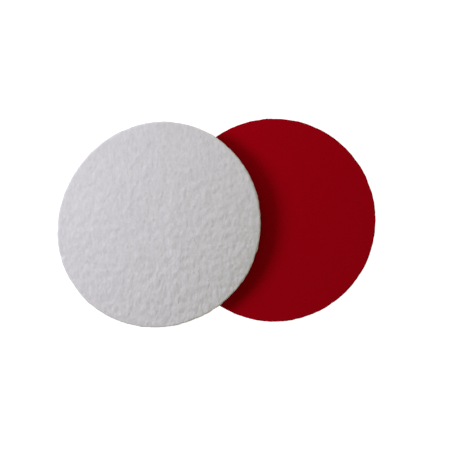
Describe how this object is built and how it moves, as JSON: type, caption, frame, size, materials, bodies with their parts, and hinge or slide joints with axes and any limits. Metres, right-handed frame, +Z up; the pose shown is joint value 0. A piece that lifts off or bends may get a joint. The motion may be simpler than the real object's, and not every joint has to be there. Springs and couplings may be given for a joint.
{
  "type": "felt polishing wheel",
  "caption": "Flat round felt polishing wheel with red loop backing, lying loop side up, and a matching loose wheel leaning on its rim, felt side up.",
  "frame": {"origin": "centre of the two wheels' joint footprint, on the surface that they lie on", "axes": "+Z up; +X along the line of centres, from the leaning felt-up wheel to the lying loop-up wheel; +Y across it, so that X, Y and Z are right-handed and the pair is symmetric about the XZ plane"},
  "size_m": [0.195, 0.125, 0.0253],
  "materials": {
    "white_felt": "matte needle-punched felt",
    "bond_film": "satin hot-melt film",
    "red_loop": "matte brushed loop pile"
  },
  "bodies": {
    "lower_wheel": {"lower_felt_disc": "white_felt", "lower_bond_film": "bond_film", "lower_loop_backing": "red_loop"},
    "upper_wheel": {"upper_felt_disc": "white_felt", "upper_bond_film": "bond_film", "upper_loop_backing": "red_loop"}
  },
  "joints": [
    {"name": "upper_wheel_lift", "type": "slide", "parent": "lower_wheel", "child": "upper_wheel", "axis": [0, 0, 1], "range_m": [0, 0.06]}
  ]
}
